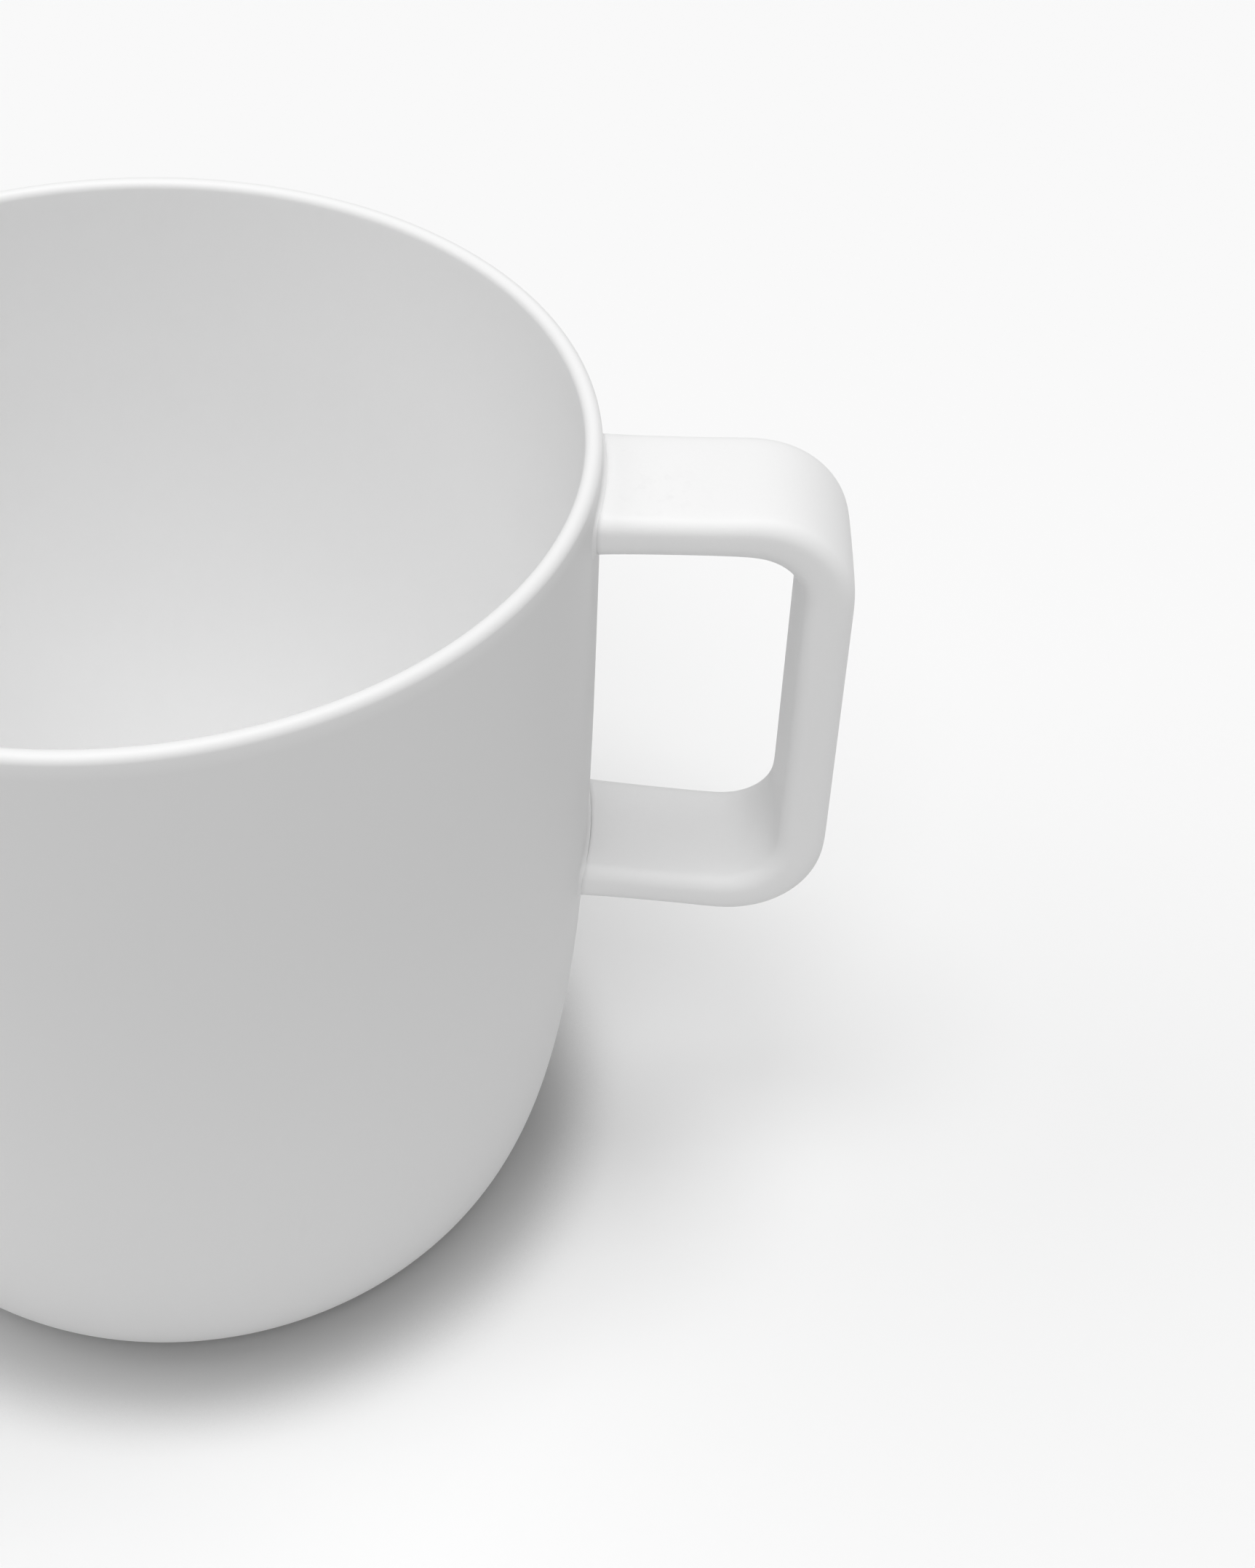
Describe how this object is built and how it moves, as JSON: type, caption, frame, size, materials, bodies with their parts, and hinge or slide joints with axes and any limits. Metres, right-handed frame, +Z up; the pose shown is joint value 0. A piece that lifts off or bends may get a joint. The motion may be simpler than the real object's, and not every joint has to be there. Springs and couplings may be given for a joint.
{
  "type": "shaving mug",
  "caption": "Tall white porcelain shaving mug with a thin rounded lip, soft-cornered base and a rounded-square strap handle.",
  "frame": {"origin": "on the surface it stands on, at the middle of the whole footprint, handle included; the mug's own axis is 12.5 mm from it towards -X", "axes": "+Z up out of the mouth, +X towards the handle, +Y across the strap's width"},
  "size_m": [0.117, 0.092, 0.0978],
  "materials": {
    "body_porcelain": "matte white porcelain",
    "handle_porcelain": "matte white porcelain",
    "joint_slip": "sponged slip, matte"
  },
  "bodies": {
    "root": {"mug_body": "body_porcelain", "handle": "handle_porcelain", "upper_slip_joint": "joint_slip", "lower_slip_joint": "joint_slip"}
  },
  "joints": []
}
